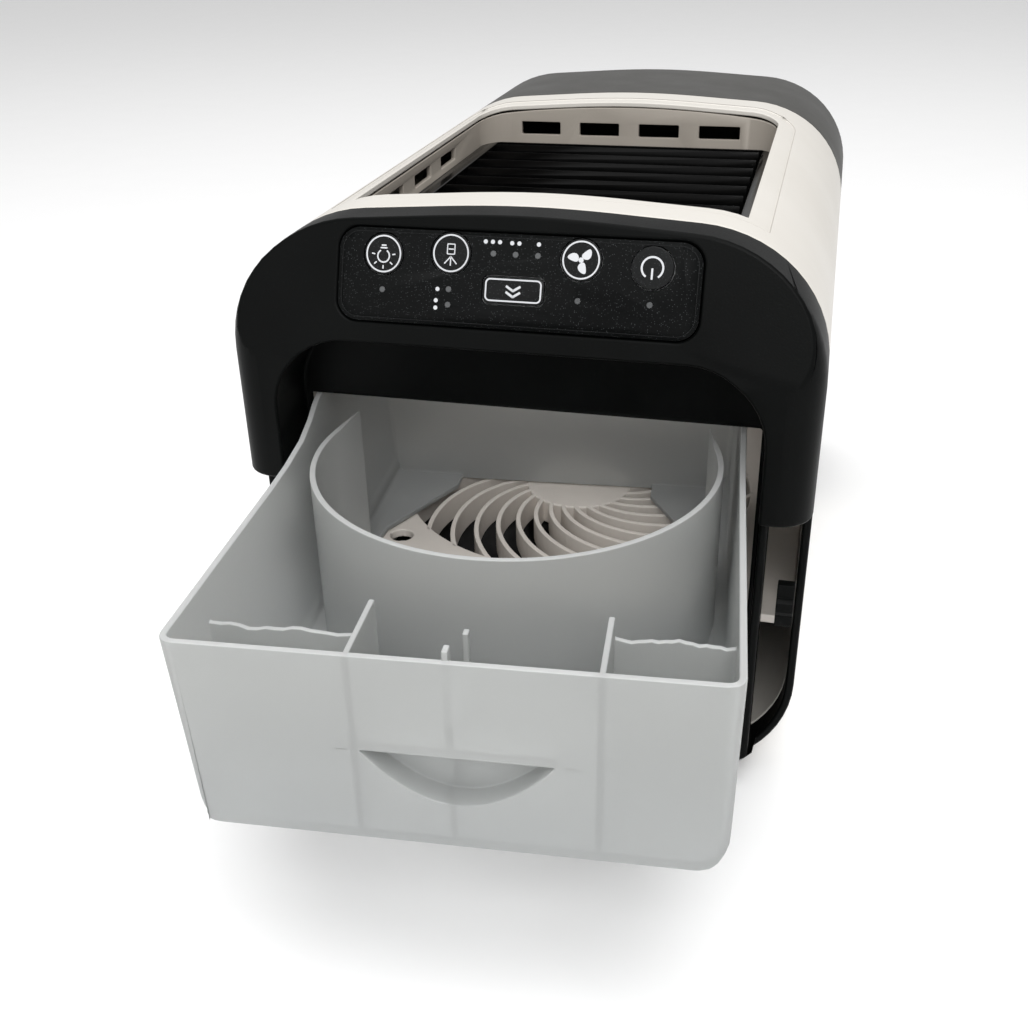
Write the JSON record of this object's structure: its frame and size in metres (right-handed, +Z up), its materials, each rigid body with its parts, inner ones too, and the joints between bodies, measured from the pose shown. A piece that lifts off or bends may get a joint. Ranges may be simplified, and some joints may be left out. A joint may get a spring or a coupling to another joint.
{
  "type": "portable air cooler",
  "caption": "Small rounded-square air cooler on its back: white shell, black sloped control cover, louvred outlet, axial fan and a frosted slide-out water tank with an air passage.",
  "frame": {"origin": "on the surface the cooler lies on, under the middle of its width, in the plane of the tank mouth (the plane where the recess for the lid ends)", "axes": "+Z is up while the cooler lies on its back and points out of the louvred outlet; -Y is the way the tank pulls out and is up when the cooler stands on its dark base cap; +X is to the right seen from the control panel"},
  "size_m": [0.17, 0.3885, 0.18],
  "materials": {
    "shell": "warm white moulded plastic, satin",
    "cover": "near-black satin plastic",
    "base": "dark grey satin plastic",
    "panel": "charcoal film with a fine sparkle and silver print",
    "key": "charcoal keys with silver print",
    "lens": "translucent light guide",
    "board": "green circuit board",
    "liner": "cream white liner, matte",
    "louvre": "glossy black",
    "fan": "black fan plastic",
    "copper": "motor winding",
    "steel": "bright steel",
    "rubber": "black rubber",
    "tank": "frosted translucent polypropylene"
  },
  "bodies": {
    "cooler_body": {"main_shell": "shell", "top_cover": "cover", "base_cap": "base", "rubber_foot_1": "rubber", "rubber_foot_2": "rubber", "rubber_foot_3": "rubber", "rubber_foot_4": "rubber", "base_screw_1": "steel", "base_screw_2": "steel", "base_screw_3": "steel", "base_screw_4": "steel", "control_panel": "panel", "indicator_light_guide": "lens", "button_board": "board", "touch_dome_sheet": "lens", "outlet_well": "liner", "louvre_frame": "louvre", "tank_stop_wall": "liner", "fan_guard": "liner", "fan_frame": "fan", "fan_motor": "copper", "fan_bearing": "steel", "fan_screw_1": "steel", "fan_screw_2": "steel", "fan_screw_3": "steel", "fan_screw_4": "steel", "inlet_grille": "shell", "main_board": "board", "power_socket": "steel", "mist_holder_left": "rubber", "mist_disc_left": "steel", "mist_holder_right": "rubber", "mist_disc_right": "steel", "light_board": "board", "light_diffuser": "lens", "lid_hinge_left": "liner", "lid_hinge_right": "liner"},
    "tank": {"water_tank": "tank"},
    "fan": {"fan_rotor": "fan"},
    "vane_1": {"louvre_vane_1": "louvre"},
    "vane_2": {"louvre_vane_2": "louvre"},
    "vane_3": {"louvre_vane_3": "louvre"},
    "vane_4": {"louvre_vane_4": "louvre"},
    "vane_5": {"louvre_vane_5": "louvre"},
    "vane_6": {"louvre_vane_6": "louvre"},
    "vane_7": {"louvre_vane_7": "louvre"},
    "vane_8": {"louvre_vane_8": "louvre"},
    "vane_9": {"louvre_vane_9": "louvre"},
    "vane_10": {"louvre_vane_10": "louvre"},
    "vane_link": {"louvre_link_bar": "louvre"},
    "light_key": {"button_light": "key"},
    "spray_key": {"button_spray": "key"},
    "fan_key": {"button_fan": "key"},
    "power_key": {"button_power": "key"},
    "boost_key": {"button_boost": "key"}
  },
  "joints": [
    {"name": "tank_slide", "type": "slide", "parent": "cooler_body", "child": "tank", "axis": [-0.0872, 0.9962, 0], "range_m": [0, 0.0895]},
    {"name": "fan_spin", "type": "hinge", "parent": "cooler_body", "child": "fan", "pos_m": [0, 0.0793, 0.035], "axis": [0, 0, 1], "continuous": true},
    {"name": "vane_1_tilt", "type": "hinge", "parent": "cooler_body", "child": "vane_1", "pos_m": [0, 0.039, 0.157], "axis": [1, 0, 0], "range_deg": [-29.8, 29.8]},
    {"name": "vane_2_tilt", "type": "hinge", "parent": "cooler_body", "child": "vane_2", "pos_m": [0, 0.053, 0.157], "axis": [1, 0, 0], "range_deg": [-29.8, 29.8]},
    {"name": "vane_3_tilt", "type": "hinge", "parent": "cooler_body", "child": "vane_3", "pos_m": [0, 0.067, 0.157], "axis": [1, 0, 0], "range_deg": [-29.8, 29.8]},
    {"name": "vane_4_tilt", "type": "hinge", "parent": "cooler_body", "child": "vane_4", "pos_m": [0, 0.081, 0.157], "axis": [1, 0, 0], "range_deg": [-29.8, 29.8]},
    {"name": "vane_5_tilt", "type": "hinge", "parent": "cooler_body", "child": "vane_5", "pos_m": [0, 0.095, 0.157], "axis": [1, 0, 0], "range_deg": [-29.8, 29.8]},
    {"name": "vane_6_tilt", "type": "hinge", "parent": "cooler_body", "child": "vane_6", "pos_m": [0, 0.109, 0.157], "axis": [1, 0, 0], "range_deg": [-29.8, 29.8]},
    {"name": "vane_7_tilt", "type": "hinge", "parent": "cooler_body", "child": "vane_7", "pos_m": [0, 0.123, 0.157], "axis": [1, 0, 0], "range_deg": [-29.8, 29.8]},
    {"name": "vane_8_tilt", "type": "hinge", "parent": "cooler_body", "child": "vane_8", "pos_m": [0, 0.137, 0.157], "axis": [1, 0, 0], "range_deg": [-29.8, 29.8]},
    {"name": "vane_9_tilt", "type": "hinge", "parent": "cooler_body", "child": "vane_9", "pos_m": [0, 0.151, 0.157], "axis": [1, 0, 0], "range_deg": [-29.8, 29.8]},
    {"name": "vane_10_tilt", "type": "hinge", "parent": "cooler_body", "child": "vane_10", "pos_m": [0, 0.165, 0.157], "axis": [1, 0, 0], "range_deg": [-29.8, 29.8]},
    {"name": "vane_link_shift", "type": "slide", "parent": "cooler_body", "child": "vane_link", "axis": [0, 1, 0], "range_m": [-0.0026, 0.0026]},
    {"name": "light_press", "type": "slide", "parent": "cooler_body", "child": "light_key", "axis": [0, 0.9354, -0.3535], "range_m": [0, 0.0005], "stiffness_N_per_m": 400, "springref_m": -0.0003},
    {"name": "spray_press", "type": "slide", "parent": "cooler_body", "child": "spray_key", "axis": [0, 0.9354, -0.3535], "range_m": [0, 0.0005], "stiffness_N_per_m": 400, "springref_m": -0.0003},
    {"name": "fan_press", "type": "slide", "parent": "cooler_body", "child": "fan_key", "axis": [0, 0.9354, -0.3535], "range_m": [0, 0.0005], "stiffness_N_per_m": 400, "springref_m": -0.0003},
    {"name": "power_press", "type": "slide", "parent": "cooler_body", "child": "power_key", "axis": [0, 0.9354, -0.3535], "range_m": [0, 0.0005], "stiffness_N_per_m": 400, "springref_m": -0.0003},
    {"name": "boost_press", "type": "slide", "parent": "cooler_body", "child": "boost_key", "axis": [0, 0.9354, -0.3535], "range_m": [0, 0.0005], "stiffness_N_per_m": 400, "springref_m": -0.0003}
  ],
  "couplings": [
    {"joint": "vane_1_tilt", "follows": "vane_link_shift", "rad_per_m": 200},
    {"joint": "vane_2_tilt", "follows": "vane_link_shift", "rad_per_m": 200},
    {"joint": "vane_3_tilt", "follows": "vane_link_shift", "rad_per_m": 200},
    {"joint": "vane_4_tilt", "follows": "vane_link_shift", "rad_per_m": 200},
    {"joint": "vane_5_tilt", "follows": "vane_link_shift", "rad_per_m": 200},
    {"joint": "vane_6_tilt", "follows": "vane_link_shift", "rad_per_m": 200},
    {"joint": "vane_7_tilt", "follows": "vane_link_shift", "rad_per_m": 200},
    {"joint": "vane_8_tilt", "follows": "vane_link_shift", "rad_per_m": 200},
    {"joint": "vane_9_tilt", "follows": "vane_link_shift", "rad_per_m": 200},
    {"joint": "vane_10_tilt", "follows": "vane_link_shift", "rad_per_m": 200}
  ]
}
